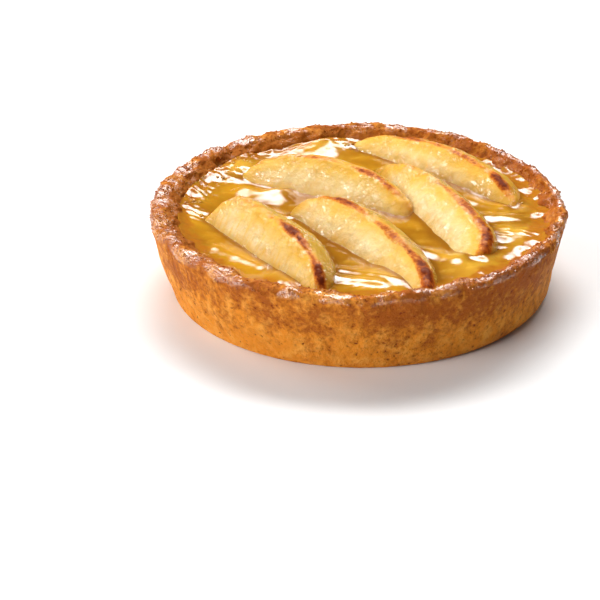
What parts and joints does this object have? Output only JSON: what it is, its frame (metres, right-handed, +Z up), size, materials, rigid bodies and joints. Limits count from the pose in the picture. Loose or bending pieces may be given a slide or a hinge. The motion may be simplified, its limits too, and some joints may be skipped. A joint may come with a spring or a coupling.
{
  "type": "apple tartlet",
  "caption": "Open round tartlet: a straight-sided shortcrust shell filled with glazed apple, with browned apple slices laid across the top.",
  "frame": {"origin": "middle of the base, on the surface that the tartlet stands on", "axes": "+Z up through the open top, -Y towards the front of the picture, +X to its right"},
  "size_m": [0.1102, 0.1102, 0.0271],
  "materials": {
    "crust": "matt",
    "filling": "gloss",
    "baked_apple": "satin"
  },
  "bodies": {
    "root": {"crust": "crust", "filling": "filling", "slice_front_left": "baked_apple", "slice_front_middle": "baked_apple", "slice_back_left": "baked_apple", "slice_back_middle": "baked_apple", "slice_back_right": "baked_apple"}
  },
  "joints": []
}
